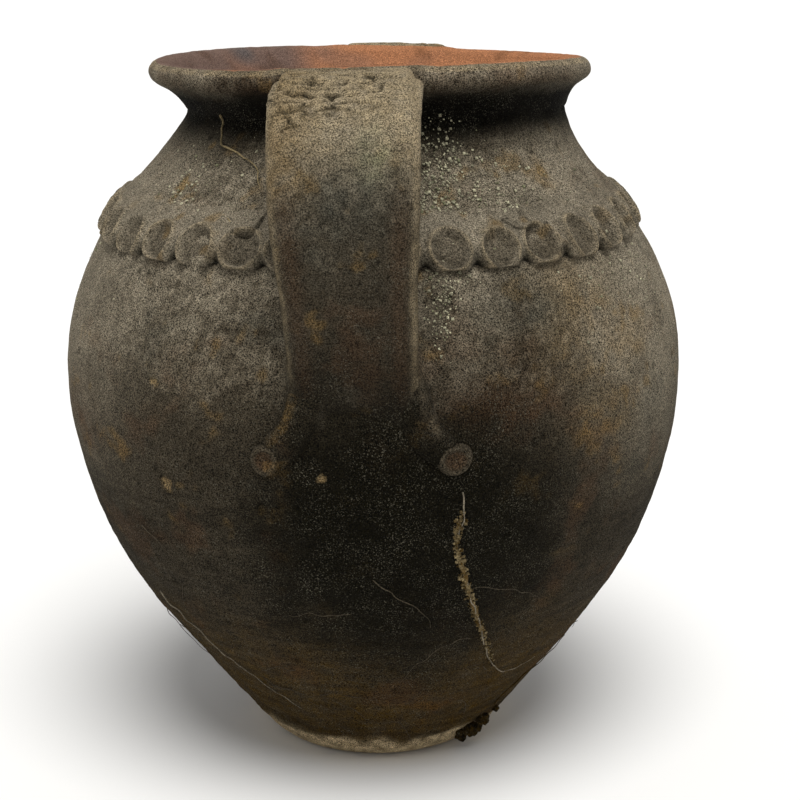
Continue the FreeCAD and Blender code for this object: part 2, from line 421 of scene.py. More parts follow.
# Colours of the skin. The darkest is used both for sooty smoke marks and for painted shade; the pale grey is
# used both for a dusty coat and for a painted sheen.
PALETTE = {
    "dust_and_painted_light": (0.512, 0.478, 0.412), "clay": (0.295, 0.265, 0.215), "soot_and_shade": (0.042, 0.035, 0.012),
    "earth": (0.232, 0.168, 0.030), "terracotta": (0.700, 0.480, 0.340), "tan": (0.590, 0.530, 0.420),
    "ochre": (0.440, 0.350, 0.200), "rust": (0.300, 0.205, 0.130), "lichen": (0.500, 0.500, 0.390),
    "bone": (0.560, 0.500, 0.370), "slate": (0.230, 0.235, 0.210), "ash": (0.385, 0.355, 0.345),
    "lime": (0.720, 0.700, 0.590),
}


def paint(name):
    colour = np.array(PALETTE[name])
    return np.where(colour <= 0.04045, colour / 12.92, ((colour + 0.055) / 1.055) ** 2.4)


def blended(tone, name, share):
    share = np.clip(share, 0, 1)[..., None]
    return tone * (1 - share) + paint(name) * share


# How dusty the skin is at each height in mm; the dip to 0.06 from 350 to 366 mm, under the lip, is painted
# shade
DUST_AND_SHADE = [
    (0, 0.34), (25, 0.24), (60, 0.20), (100, 0.15), (150, 0.14), (185, 0.20), (215, 0.32), (245, 0.50),
    (275, 0.62), (300, 0.78), (330, 0.72), (342, 0.48), (350, 0.06), (366, 0.06), (371, 0.50), (380, 0.66),
]
STRAP_DUST = [
    (200, 0.05), (235, 0.13), (262, 0.20), (285, 0.26), (310, 0.37), (330, 0.47), (350, 0.66), (372, 1.0),
]


# Stains on the wall: colour, turn, height in mm, how wide (degrees), how tall (mm) and how strong
STAINS = [
    ("ochre", 44, 274, 9, 15, 0.50), ("ochre", 39, 250, 8, 12, 0.38), ("rust", 26, 226, 8, 14, 0.62),
    ("ochre", 47, 214, 8, 14, 0.36), ("slate", 33, 273, 8, 12, 0.55), ("rust", -63, 205, 9, 16, 0.40),
    ("ochre", 52, 327, 4, 6, 0.55), ("ochre", 58, 250, 6, 12, 0.34), ("rust", 139, 240, 10, 18, 0.45),
    ("ochre", -108, 262, 10, 14, 0.42), ("ochre", -145, 230, 9, 16, 0.36),
]


def skin_tone(points, turn, kind, relief):
    """The colour of the skin at some points: dusty above, sooty below the handles, earthy at the foot, with
    painted shade under the lip and in carved recesses, a painted sheen on the sides and a painted shadow
    beside each handle.
    """
    heights = points[..., 2] / MM
    wide, middle = noise(points, 75, 11), noise(points, 24, 12)
    small, fine = noise(points, 8, 13), noise(points, 3.2, 14)
    shifted = heights + 13 * wide + 7 * middle
    table = np.array(STRAP_DUST if kind == "strap" else DUST_AND_SHADE)
    # Share of the dusty coat by height; its dip under the lip is painted shade.
    dust_and_painted_light = np.interp(shifted, table[:, 0], table[:, 1])
    dust_and_painted_light = dust_and_painted_light * (1 + 0.17 * middle + 0.22 * small + 0.28 * fine) + 0.07 * wide
    tone = paint("soot_and_shade") + 0 * points
    tone = blended(tone, "clay", 0.25 + 1.1 * dust_and_painted_light)
    tone = blended(tone, "dust_and_painted_light", (dust_and_painted_light - 0.42) * 1.9)
    foot = 1 - smooth_step(shifted, 50, 128)
    tone = blended(tone, "earth", foot * (0.66 + 0.3 * small + 0.25 * fine))
    if kind == "wall":
        # Painted sheen, partly dusty: paler from 30 to 66 degrees either side of the front.
        side = smooth_step(np.abs(turn), 30, 66)
        tone = blended(tone, "dust_and_painted_light", 0.82 * side * smooth_step(heights, 140, 250) * (0.9 + 0.3 * middle))
        streak = noise(points * np.array([0.10, 0.10, 1]), 2.6, 20) * (1 - smooth_step(heights, 150, 230))
        tone = tone * (1 + 0.34 * streak * smooth_step(heights, 8, 20))[..., None]
    warm = smooth_step(noise(points, 33, 15) + 0.35 * small, 0.30, 0.85)
    tone = blended(tone, "rust", 0.30 * warm)
    cold = smooth_step(noise(points, 41, 16) + 0.3 * small, 0.40, 0.9)
    tone = blended(tone, "slate", 0.30 * cold * smooth_step(heights, 110, 200))
    stain = smooth_step(noise(points, 19, 17) + 0.5 * noise(points, 5, 18), 0.50, 1.0)
    tone = blended(tone, "ochre", 0.42 * stain * smooth_step(heights, 90, 200))
    for colour, stain_turn, stain_height, wide_turn, tall, share in STAINS:
        spot = bump(turn + 5 * middle, stain_turn, wide_turn)
        spot = spot * bump(heights + 9 * small + 6 * wide, stain_height, tall)
        tone = blended(tone, colour, share * spot * (0.8 + 0.6 * small))
    patch = smooth_step(noise(points, 30, 19) + 0.4 * small, 0.45, 0.9)
    tone = blended(tone, "soot_and_shade", 0.24 * patch)
    if kind == "wall" or kind == "root":
        for handle_turn in HANDLE_TURNS.values():
            off = wrapped(turn - handle_turn)
            reach = np.where(off > 8, 30, 24) + 6 * middle
            plume = ((off - 8) / reach) ** 2 + ((shifted - 154) / 72) ** 2
            tone = blended(tone, "soot_and_shade", 0.95 * (1 - smooth_step(plume, 0.15, 2.1)))
            smudge = ((off - 1.5) / 11.5) ** 4 + ((shifted - 205) / 48) ** 4
            tone = blended(tone, "soot_and_shade", 0.6 * (1 - smooth_step(smudge, 0.3, 1.5)))
            # Painted shadow of the handle, cast on the wall to its right.
            handle_shadow = bump(off, 22, 13) * bump(shifted, 240, 42)
            tone = blended(tone, "soot_and_shade", 0.34 * handle_shadow)
    # Painted shade: darker the deeper the surface is carved in.
    return blended(tone, "soot_and_shade", np.clip(-relief / (0.9 * MM), 0, 0.8))


# ---------------------------------------------------------------- meshes

def new_object(name, vertices, faces, normals=None, tone=None, grit=None):
    """A smooth-shaded mesh object; faces is an array of quads or a list of arrays of faces."""
    groups = faces if isinstance(faces, list) else [faces]
    corners = [np.asarray(vertices)[group] - np.mean(vertices, axis=0) for group in groups]
    volume = sum((np.cross(c[:, 0], c[:, 1]) * c[:, 2]).sum() for c in corners)
    groups = [group[:, ::-1] for group in groups] if volume < 0 else groups
    loops = np.concatenate([group.reshape(-1) for group in groups]).astype(np.int32)
    sizes = np.concatenate([np.full(len(group), group.shape[1]) for group in groups]).astype(np.int32)
    starts = np.concatenate([[0], np.cumsum(sizes)[:-1]]).astype(np.int32)
    mesh = bpy.data.meshes.new(name)
    mesh.vertices.add(len(vertices))
    mesh.vertices.foreach_set("co", np.asarray(vertices, np.float32).ravel())
    mesh.loops.add(len(loops))
    mesh.loops.foreach_set("vertex_index", loops)
    mesh.polygons.add(len(sizes))
    mesh.polygons.foreach_set("loop_start", starts)
    mesh.update(calc_edges=True)
    mesh.validate()
    mesh.shade_smooth()
    if tone is not None:
        colours = np.ones((len(vertices), 4), np.float32)
        colours[:, :3] = np.clip(tone, 0, 1)
        if grit is not None:
            colours[:, 3] = grit
        layer = mesh.color_attributes.new("tone", "FLOAT_COLOR", "POINT")
        layer.data.foreach_set("color", colours.ravel())
    if normals is not None:
        mesh.normals_split_custom_set_from_vertices(np.asarray(normals, float).tolist())
    item = bpy.data.objects.new(name, mesh)
    bpy.context.scene.collection.objects.link(item)
    return item


def grid_faces(rows, columns, close_rows=False, close_columns=True):
    index = np.arange(rows * columns).reshape(rows, columns)
    if close_rows:
        index = np.concatenate([index, index[:1]])
    if close_columns:
        index = np.concatenate([index, index[:, :1]], axis=1)
    return np.stack([index[:-1, :-1], index[:-1, 1:], index[1:, 1:], index[1:, :-1]], axis=-1).reshape(-1, 4)


def grid_normals(points, close_columns=True):
    """Normals of a grid of points, from its neighbours along and across."""
    down = np.gradient(points, axis=0)
    if close_columns:
        beside = np.roll(points, -1, axis=1) - np.roll(points, 1, axis=1)
    else:
        beside = np.gradient(points, axis=1)
    normals = np.cross(beside, down)
    return normals / np.maximum(np.linalg.norm(normals, axis=-1, keepdims=True), 1e-12)


def piece(item, material, slot, nodes=()):
    """Gives a piece its finish, and its place on the pot's one body."""
    item.data.materials.append(material)
    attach(item, "root")
    if nodes:
        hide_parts(*nodes)
    return item


# ---------------------------------------------------------------- the skin's material

def skin_material(name, speckle, grain, roughness, sheen):
    """Gritty clay: the skin's tone, broken up by light and dark grains, with a bump to match."""
    material = bpy.data.materials.new(name)
    material.use_nodes = True
    nodes, links = material.node_tree.nodes, material.node_tree.links
    nodes.clear()

    def add(kind, **settings):
        node = nodes.new(kind)
        for key, value in settings.items():
            setattr(node, key, value)
        return node

    def noise_node(scale, detail, rough=0.6):
        node = add("ShaderNodeTexNoise")
        node.inputs["Scale"].default_value = scale
        node.inputs["Detail"].default_value = detail
        node.inputs["Roughness"].default_value = rough
        links.new(place.outputs["Object"], node.inputs["Vector"])
        return node.outputs["Fac"]

    def spread(source, low, high, out_low, out_high):
        node = add("ShaderNodeMapRange")
        for key, value in zip(("From Min", "From Max", "To Min", "To Max"), (low, high, out_low, out_high)):
            node.inputs[key].default_value = value
        links.new(source, node.inputs["Value"])
        return node.outputs["Result"]

    def maths(operation, first, second):
        node = add("ShaderNodeMath", operation=operation)
        for socket, value in zip(node.inputs, (first, second)):
            if isinstance(value, (int, float)):
                socket.default_value = value
            else:
                links.new(value, socket)
        return node.outputs["Value"]

    place = add("ShaderNodeTexCoord")
    tone = add("ShaderNodeAttribute", attribute_type="GEOMETRY", attribute_name="tone")
    sand = noise_node(1500.0, 2.0, 0.8)
    grit = noise_node(430.0, 4.0, 0.7)
    blotch = noise_node(120.0, 4.0, 0.6)
    light = spread(sand, 0.39, 0.63, 1 - speckle, 1 + 1.4 * speckle)
    light = maths("MULTIPLY", light, spread(grit, 0.30, 0.70, 1 - 0.22 * speckle, 1 + 0.22 * speckle))
    light = maths("MULTIPLY", light, spread(blotch, 0.30, 0.70, 0.86, 1.14))
    light = maths("ADD", maths("MULTIPLY", maths("SUBTRACT", light, 1.0), tone.outputs["Alpha"]), 1.0)
    scaled = add("ShaderNodeVectorMath", operation="SCALE")
    links.new(tone.outputs["Color"], scaled.inputs[0])
    links.new(light, scaled.inputs["Scale"])
    specks = spread(noise_node(1350.0, 2.0, 0.7), 0.57, 0.70, 0.0, 0.46)
    specks = maths("MULTIPLY", specks, spread(noise_node(55.0, 3.0, 0.7), 0.36, 0.64, 0.1, 1.5))
    specks = maths("MULTIPLY", specks, tone.outputs["Alpha"])
    mixed = add("ShaderNodeMix", data_type="RGBA", blend_type="MIX")
    links.new(specks, mixed.inputs[0])
    links.new(scaled.outputs["Vector"], mixed.inputs[6])
    mixed.inputs[7].default_value = (0.23, 0.21, 0.155, 1)
    shader = add("ShaderNodeBsdfPrincipled")
    links.new(mixed.outputs[2], shader.inputs["Base Color"])
    links.new(spread(grit, 0.3, 0.7, roughness - 0.07, roughness + 0.07), shader.inputs["Roughness"])
    shader.inputs["Specular IOR Level"].default_value = 0.03
    shader.inputs["Sheen Weight"].default_value = sheen
    shader.inputs["Sheen Roughness"].default_value = 0.6
    height = maths("ADD", maths("MULTIPLY", sand, 0.7), grit)
    bumps = add("ShaderNodeBump")
    bumps.inputs["Strength"].default_value = grain
    bumps.inputs["Distance"].default_value = 1.7 * MM
    links.new(height, bumps.inputs["Height"])
    links.new(bumps.outputs["Normal"], shader.inputs["Normal"])
    output = add("ShaderNodeOutputMaterial")
    links.new(shader.outputs["BSDF"], output.inputs["Surface"])
    return material


smoked = skin_material("smoked_clay", 0.95, 0.95, 0.90, 0.006)
dusty = skin_material("dusty_clay", 0.76, 1.0, 0.92, 0.012)
bare = skin_material("bare_clay", 0.60, 0.60, 0.90, 0.01)
muddy = skin_material("dried_mud", 0.50, 0.90, 0.95, 0.01)


# ---------------------------------------------------------------- the wall, course by course

rows = np.arange(len(profile))
under = (rows < start_row)[:, None]
outer = ((rows >= start_row) & (rows <= lip_row))[:, None]
inner = (rows > lip_row)[:, None]


def wall_relief(base, heights):
    """The uneven surface: hand-worked, calmer at the lip, wiped in rings low down and inside."""
    edge = smooth_step(heights, 0.350, 0.364)
    relief = lumps(base) * (1 - 0.55 * edge)
    relief += edge * MM * (0.12 * noise(base, 16, 6) + 0.14 * noise(base, 5, 7))
    rings = np.stack([base[..., 0] * 0.06, base[..., 1] * 0.06, base[..., 2]], axis=-1)
    low = 1 - smooth_step(heights, 0.10, 0.20)
    relief += outer * low * MM * (0.28 * noise(rings, 4.2, 8) + 0.16 * noise(rings, 1.9, 9))
    relief += inner * MM * 0.45 * noise(rings, 9, 10)
    worn = outer * bump(heights, 10 * MM, 6 * MM)
    relief += worn * MM * 0.5 * noise(base, 7, 32)
    relief = np.where(under, 0.15 * MM * noise(base, 9, 33), relief)
    return np.where(outer & (heights < 6 * MM), relief * smooth_step(heights, 0.0, 6 * MM), relief)


def wall_carving(base, degrees, heights, chips):
    """What is missing from the surface: pock marks, cracks, chips and the seam under the lip."""
    marks = 0.9 * pits(base, 8, 0.10, 21) + 0.6 * pits(base, 4.6, 0.16, 25)
    carved = -0.55 * MM * marks * outer
    carved -= np.where(outer & (heights > 10 * MM), crack_depth(degrees, heights), 0) + 0.8 * MM * chips
    seam = bump(heights, seam_outside["rim_coil"] + 0.5 * MM, 0.9 * MM)
    return carved - outer * MM * 0.9 * seam * (0.7 + 0.5 * noise(base, 14, 31))


def handle_swell(base, normals, degrees, heights):
    """How far the wall swells where the straps are melted into it."""
    swell = np.zeros(heights.shape)
    for place, turn in HANDLE_TURNS.items():
        close = outer & (heights > 0.18) & (np.abs(wrapped(degrees - turn)) < 24)
        for i, j in np.argwhere(close):
            near = strap_trees[place].find_nearest(Vector(base[i, j]), MELT_REACH + MM)
            if near[0] is not None:
                alike = near[1].dot(Vector(normals[i, j]))
                swell[i, j] = max(swell[i, j], melt(near[3], MELT_REACH, abs(alike)))
    return swell


def fired_clay(base, heights):
    """Colour of the clay inside: orange, smoked on the left and earthy lower down."""
    smoke = smooth_step(-base[..., 0] + 30 * MM * noise(base, 45, 45), 0.015, 0.085)
    smoke = 0.65 * smoke + 0.25 * smooth_step(noise(base, 30, 46), 0.2, 0.9)
    tone = blended(paint("terracotta") + 0 * base, "ash", 1.25 * smoke)
    tone = blended(tone, "rust", 0.35 * smooth_step(noise(base, 12, 47), 0.1, 0.9))
    return blended(tone, "earth", 0.55 * (1 - smooth_step(heights, 0.20, 0.36)))


def wall_tone(base, degrees, heights, carved, chips, inside):
    """Colour of the wall: painted shade, partly sooty, under the lip, a painted highlight on the lip's top
    edge, and pale where the foot is worn, brightened there by painted light.
    """
    tone = skin_tone(base, degrees, "wall", carved)
    tone = blended(tone, "ochre", chips * (0.75 + 0.3 * noise(base, 3, 42)))
    tone = blended(tone, "tan", 0.3 * chips)
    # Painted shade under the lip, partly sooty: the neck's hollow is darkened.
    hollow = bump(heights, 0.357, 0.011) * outer
    tone = blended(tone, "soot_and_shade", 0.97 * np.minimum(1.3 * hollow, 1) * (0.96 + 0.1 * noise(base, 22, 43)))
    tone = tone * (1 - 0.62 * hollow)[..., None]
    lip = outer * smooth_step(heights, 0.366, 0.372)
    tone = blended(tone, "rust", 0.25 * lip * (0.7 + 0.6 * noise(base, 18, 44)))
    # Painted highlight along the lip's top edge.
    lip_edge_highlight = bump(heights, rim_top - 1.5 * MM, 2.2 * MM) * (np.abs(rows - lip_row) < 9)[:, None]
    tone = blended(tone, "tan", 0.5 * lip_edge_highlight * (0.8 + 0.5 * noise(base, 9, 52)))
    tone = np.where(inside[..., None], fired_clay(base, heights), tone)
    # The foot's worn pale edge, brightened further by painted light against the shade at the foot.
    foot_edge = outer * (1 - smooth_step(heights + 4 * MM * noise(base, 13, 48), 12 * MM, 21 * MM))
    tone = blended(tone, "tan", 0.9 * foot_edge * (0.8 + 0.5 * noise(base, 5, 49)))
    tone = tone * (1 + 0.7 * foot_edge)[..., None]
    tone = blended(tone, "terracotta", under * (0.5 + 0.3 * noise(base, 20, 50)))
    return blended(tone, "earth", under * (0.35 + 0.3 * noise(base, 9, 51)))


def nearest_row(height, choice):
    return choice[int(np.argmin(np.abs(profile[choice, 1] - height)))]


def rows_of(number):
    """The rows of one course: its outside, then its inside, on the way round the section."""
    outer_rows, inner_rows = rows[start_row:lip_row], rows[lip_row + 4:]
    node = WALL_NODES[number]
    if number == 0:
        first_seam = nearest_row(seam_outside[WALL_NODES[1]], outer_rows)
        return np.concatenate([rows[: first_seam + 1], rows[nearest_row(seam_inside[node], inner_rows):]])
    below = nearest_row(seam_outside[node], outer_rows)
    inside_below = nearest_row(seam_inside[WALL_NODES[number - 1]], inner_rows)
    if number + 1 == len(WALL_NODES):
        return rows[below: inside_below + 1]
    above = nearest_row(seam_outside[WALL_NODES[number + 1]], outer_rows)
    inside_above = nearest_row(seam_inside[node], inner_rows)
    return np.concatenate([rows[below: above + 1], rows[inside_above: inside_below + 1]])


def build_wall():
    """Each course as a closed ring; the slab is closed by a fan above and below."""
    turns = ring_of(COLUMNS)
    slope = np.gradient(profile, axis=0)
    slope /= np.linalg.norm(slope, axis=1, keepdims=True)
    out = np.stack([np.sin(turns), -np.cos(turns), 0 * turns], axis=-1)
    up = np.array([0, 0, 1.0])
    base = profile[:, 0, None, None] * out[None] + profile[:, 1, None, None] * up
    normals = slope[:, 1, None, None] * out[None] - slope[:, 0, None, None] * up
    degrees = wrapped(np.degrees(turns)[None] + 0 * base[..., 0])
    heights = base[..., 2]
    inside = (rows >= lip_row - 2)[:, None] & (heights > 8 * MM)

    chips = np.where(outer & (heights > 10 * MM), chip_share(base, degrees, heights), 0)
    carved = wall_carving(base, degrees, heights, chips)
    raised = wall_relief(base, heights) + carved + handle_swell(base, normals, degrees, heights)
    moved = base + normals * raised[..., None]
    moved[..., 2] = np.maximum(moved[..., 2], 0.0)
    points = hand_built(moved)
    shading = grid_normals(points)
    tone = wall_tone(base, degrees, heights, carved, chips, inside)
    grit = np.where(inside | under, 0.4, 1.0)

    for number, node in enumerate(WALL_NODES):
        chosen = rows_of(number)
        vertices, own_normals, own_tone = (grid[chosen].reshape(-1, 3) for grid in (points, shading, tone))
        own_grit = grit[chosen].reshape(-1)
        faces = [grid_faces(len(chosen), COLUMNS, close_rows=number > 0)]
        if number == 0:
            first, last = np.arange(COLUMNS), np.arange(COLUMNS) + (len(chosen) - 1) * COLUMNS
            middle = len(vertices)
            vertices = np.concatenate([vertices, [points[0].mean(0), points[-1].mean(0)]])
            faces.append(np.stack([np.full(COLUMNS, middle), np.roll(first, -1), first], axis=-1))
            faces.append(np.stack([last, np.roll(last, -1), np.full(COLUMNS, middle + 1)], axis=-1))
            own_normals = np.concatenate([own_normals, [(0, 0, -1), (0, 0, 1)]])
            own_tone = np.concatenate([own_tone, tone[0].mean(0)[None], tone[-1].mean(0)[None]])
            own_grit = np.concatenate([own_grit, [0.4, 0.4]])
        item = new_object(node + "_skin", vertices, faces, own_normals, own_tone, own_grit)
        finish = (smoked, "smoked_clay") if number else (bare, "bare_clay")
        piece(item, *finish, [node])


build_wall()


# ---------------------------------------------------------------- the thumbed band

BAND_START = 4.5
BAND_STARTS = {"thumbed_band_right": BAND_START, "thumbed_band_left": BAND_START + 180}
BAND_RADIUS = 147 * MM
BAND_LIFT = 5.5 * MM
MARK_STEP = 10.0
MARK_HEIGHT = 295.6
# The band's section as height and how proud it stands, in mm, from its under edge to its smeared top
BAND_SECTION = [
    (290.0, -2.5), (288.0, 0.3), (287.6, 2.2), (288.6, 3.9), (291.5, 5.0), (296.0, 5.3), (300.5, 4.7),
    (304.5, 3.3), (308.5, 1.9), (312.5, 0.8), (316.5, -1.0),
]


def build_band(node, start):
    section = smooth_path(np.array(BAND_SECTION) * MM, 0.7 * MM)
    columns = 640
    degrees = np.linspace(start, start + 180, columns)[None] + 0 * section[:, :1]
    height, proud = section[:, :1] + 0 * degrees, section[:, 1:] + 0 * degrees
    number = np.floor((degrees - BAND_START) / MARK_STEP)
    seeds = np.stack([number, number * 0 + 7, number * 0], axis=-1).astype(np.int64)
    jitter = [hashed(seeds, 60 + k) * 2 - 1 for k in range(6)]
    centre = number * MARK_STEP + (BAND_START + MARK_STEP / 2) + 0.5 * jitter[0]
    x = np.radians(degrees - centre) * BAND_RADIUS
    off = np.abs(((degrees - BAND_START) % MARK_STEP) - MARK_STEP / 2) / (MARK_STEP / 2)
    between = smooth_step(off, 0.55, 1.0)
    low = 1 - smooth_step(height, 0.288, 0.297)
    high = smooth_step(height, 0.299, 0.306)
    height = height + MM * between * (2.4 * low - 0.6 * high)
    turn = wrapped(degrees)
    front = np.minimum(*(np.abs(wrapped(degrees - handle)) for handle in HANDLE_TURNS.values()))
    lift = BAND_LIFT * smooth_step(front, 50, 86)
    smeared = 1 - smooth_step(front, 16, 27)
    proud = proud - MM * between * (0.7 * low + 0.5) * (1 - 0.4 * smeared)
    proud = proud * (1 - 0.36 * smooth_step(front, 55, 86))
    wide, tall = 10.0 * MM * (1 + 0.09 * jitter[2] + 0.10 * smeared), 9.3 * MM * (1 + 0.08 * jitter[3])
    slant = 0.18 * jitter[4] + 0.22 * (degrees < 180)
    y = height - (MARK_HEIGHT + 0.7 * jitter[5]) * MM
    u, v = (x + slant * y) / wide, (y - slant * x) / tall
    reach = np.sqrt(u * u + v * v)
    dish = 1 - smooth_step(reach, 0.55, 1.0)
    deep = (3.7 + 0.4 * jitter[1]) * (1 - 0.45 * smeared)
    inside = 1 - smooth_step(reach, 0.78, 0.98)
    height = height + lift
    base, normals = on_wall(np.radians(degrees), height)
    lip = bump(reach, 1.02, 0.11) * smooth_step(proud, 0, 2 * MM)
    proud = proud * (1 - 0.22 * inside) - MM * deep * dish + MM * 1.7 * lip
    relief = lumps(base, 0.7) + MM * (0.20 * noise(base, 7, 61) + 0.12 * noise(base, 2.2, 62))
    folds = np.abs(noise(base * np.array([1, 1, 2.2]), 8, 63))
    tears = smeared * inside * (1 - smooth_step(folds, 0.04, 0.16))
    carved = -MM * (1.1 * tears + 0.5 * pits(base, 3.4, 0.14, 64)) - crack_depth(turn, height)
    tuck = smooth_step(proud, -1 * MM, 1.5 * MM)
    points = hand_built(base + normals * (proud + (relief + carved) * tuck)[..., None])
    tone = skin_tone(base, turn, "band", carved)
    tone = blended(tone, "dust_and_painted_light", 0.24 + 0.26 * smooth_step(-turn, 4, 25))
    # Painted shade in the thumb dishes.
    tone = blended(tone, "clay", 0.55 * (1 - smooth_step(reach, 0.70, 0.95)))
    # Painted highlight on the raised ring round each thumb mark.
    tone = blended(tone, "tan", 0.60 * bump(reach, 1.02, 0.09) * smooth_step(noise(base, 9, 65), -0.9, 0.5))
    # Painted shadow under the band's scalloped lower edge and between the marks.
    tone = blended(tone, "soot_and_shade", 0.75 * low * between + 0.35 * low * (1 - smooth_step(proud, 1 * MM, 4 * MM)))
    tone = blended(tone, "ochre", 0.5 * smooth_step(noise(base, 10, 66), 0.55, 0.9))
    shading = grid_normals(points, close_columns=False)
    rows = len(section)
    faces = grid_faces(rows, columns, close_rows=True, close_columns=False)
    flat = [grid.reshape(-1, 3) for grid in (points, shading, tone)]
    item = new_object(node + "_skin", flat[0], faces, flat[1], flat[2])
    piece(item, dusty, "dusty_clay", [node])


for band_node, band_start in BAND_STARTS.items():
    build_band(band_node, band_start)


# ---------------------------------------------------------------- handles, their roots and pellets

def capped_tube(name, points, tone, material, slot, nodes=()):
    """A closed tube from a grid of rings, with a fan at each end."""
    rows, columns = points.shape[:2]
    vertices = np.concatenate([points.reshape(-1, 3), [points[0].mean(0), points[-1].mean(0)]])
    first, last = np.arange(columns), np.arange(columns) + (rows - 1) * columns
    caps = [np.stack([np.roll(first, -1), first, np.full(columns, rows * columns)], axis=-1)]
    caps.append(np.stack([last, np.roll(last, -1), np.full(columns, rows * columns + 1)], axis=-1))
    colours = np.concatenate([tone.reshape(-1, 3), tone[0, :1], tone[-1, :1]])
    item = new_object(name, vertices, [grid_faces(rows, columns)] + caps, None, colours)
    return piece(item, material, slot, nodes)


def build_strap(place, turn):
    points, normals, across, outward = strap_grid(STRAP_STEP)
    points, normals = turned(points, turn), turned(normals, turn)
    sample = points + (0 if place == "front" else 100) * 1.7 * MM
    heights = points[..., 2]
    face = smooth_step(outward, 0.2, 0.9)
    relief = lumps(sample, 0.9) + MM * 0.25 * noise(sample, 6, 71)
    edges, trough = bump(np.abs(across), 0.80, 0.12), 1 - smooth_step(np.abs(across), 0.2, 0.72)
    relief += MM * face * (0.7 * edges - 0.9 * trough)
    top = smooth_step(heights, 0.345, 0.372)
    flaky = top * (0.4 + 0.6 * smooth_step(noise(sample, 22, 72), -0.5, 0.4))
    flaky = flaky * (1 - 0.7 * smooth_step(across, 0.2, 0.8))
    stretched = turned(sample, -turn) * np.array([0.5, 1.25, 1.25])
    lines = np.abs(noise(stretched, 5.5, 73) + 0.35 * noise(stretched, 2.4, 74))
    split = smooth_step(flaky, 0.2, 0.6) * (1 - smooth_step(lines, 0.08, 0.22))
    rough = smooth_step(heights, 0.31, 0.35) * smooth_step(-across, -0.2, 0.6)
    carved = -MM * (2.0 * split + 0.9 * pits(sample, 3.4, 0.45, 75) * np.maximum(rough, flaky))
    carved -= MM * 0.4 * pits(sample, 6, 0.12, 79)
    alike = wall_facing(points, normals)
    gap = wall_gap(points)
    swell = np.where(heights < 0.34, melt(gap, MELT_REACH, alike), 0.5 * melt(gap, 6 * MM, alike))
    crown = smooth_step(heights, 0.362, 0.374) * smooth_step(outward, 0.0, 0.5)
    beyond_lip = smooth_step(np.hypot(points[..., 0], points[..., 1]), 0.118, 0.134)
    relief += crown * beyond_lip * CROWN_LIFT[place] * (1 - np.abs(across) ** 2)
    relief -= MM * crown * (0.7 + 2.4 * np.abs(across) ** 3)
    moved = points + normals * (relief + carved + swell)[..., None]
    radial = turn_of(points)
    tone = skin_tone(sample, radial, "strap", carved)
    tan = smooth_step(heights + 9 * MM * noise(sample, 20, 76), 0.326, 0.374)
    tan = tan * smooth_step(outward, -0.3, 0.5)
    tone = blended(tone, "tan", 0.92 * tan * (0.85 + 0.4 * noise(sample, 5, 77)))
    # Painted highlight along both edges of the strap.
    edge_highlight = bump(np.abs(across), 0.95, 0.06) * smooth_step(heights, 0.212, 0.245)
    tone = blended(tone, "tan", 0.46 * edge_highlight * (0.9 + 0.5 * noise(sample, 7, 78)))
    streak = bump(np.abs(across), 0.74, 0.13) * face * smooth_step(0.345 - heights, 0, 0.03)
    tone = blended(tone, "rust", 0.26 * streak)
    patch = bump(across, 0.42, 0.22) * bump(heights, 0.347, 0.011) * face
    tone = blended(tone, "lichen", 0.55 * patch * (0.8 + 0.6 * noise(sample, 6, 80)))
    cover = face * (0.85 + 0.5 * noise(sample, 7, 83))
    coarse = (1 - smooth_step(across, -0.75, -0.15)) * smooth_step(heights, 0.318, 0.340)
    tone = blended(tone, "ochre", 0.42 * coarse * cover)
    damp = bump(across, 0.05, 0.55) * bump(heights + 6 * MM * noise(sample, 25, 86), 0.330, 0.024)
    tone = blended(tone, "slate", 0.55 * damp * cover)
    stained = bump(across, 0.74, 0.20) * bump(heights, 0.334, 0.016)
    tone = blended(tone, "soot_and_shade", 0.42 * stained * cover)
    # Painted shade in the splits of the flaky top.
    tone = blended(tone, "soot_and_shade", 0.85 * split)
    low = 1 - smooth_step(heights + 6 * MM * noise(sample, 16, 82), 0.222, 0.275)
    tone = blended(tone, "soot_and_shade", 0.62 * low)
    # Painted shade on the strap's inner face, which faces the wall.
    under = 1 - smooth_step(outward, -0.6, 0.0)
    tone = blended(tone, "soot_and_shade", 0.55 * under)
    root = 1 - smooth_step(gap + 3 * MM * noise(sample, 14, 81), 0.5 * MM, 8 * MM)
    root = (root * (heights < 0.33))[..., None]
    tone = tone * (1 - root) + skin_tone(points, radial, "wall", carved) * root
    name = f"handle_{place}"
    capped_tube(name + "_skin", hand_built_foot(moved), tone, dusty, "dusty_clay", [name])


def hand_built_foot(points):
    """A laid-on piece follows the wall's lean and the rim's warp where it touches them."""
    follow = 1 - smooth_step(np.abs(wall_gap(points)), 6 * MM, 22 * MM)
    return points + (hand_built(points) - points) * follow[..., None]


ROOT_TURN = 2.2
# About how far a degree runs round the wall beside the roots
DEGREE_AT_BELLY = 2.9 * MM
# A coil beside a root, downwards: turn from the root's middle, height, and how proud of the wall the
# coil's middle is there, in mm
COIL_PLACES = [(7.2, 252, 1.5), (8.0, 238, 1.4), (9.3, 224, 0.9), (11.6, 212, -0.3), (13.9, 206, -2.2)]


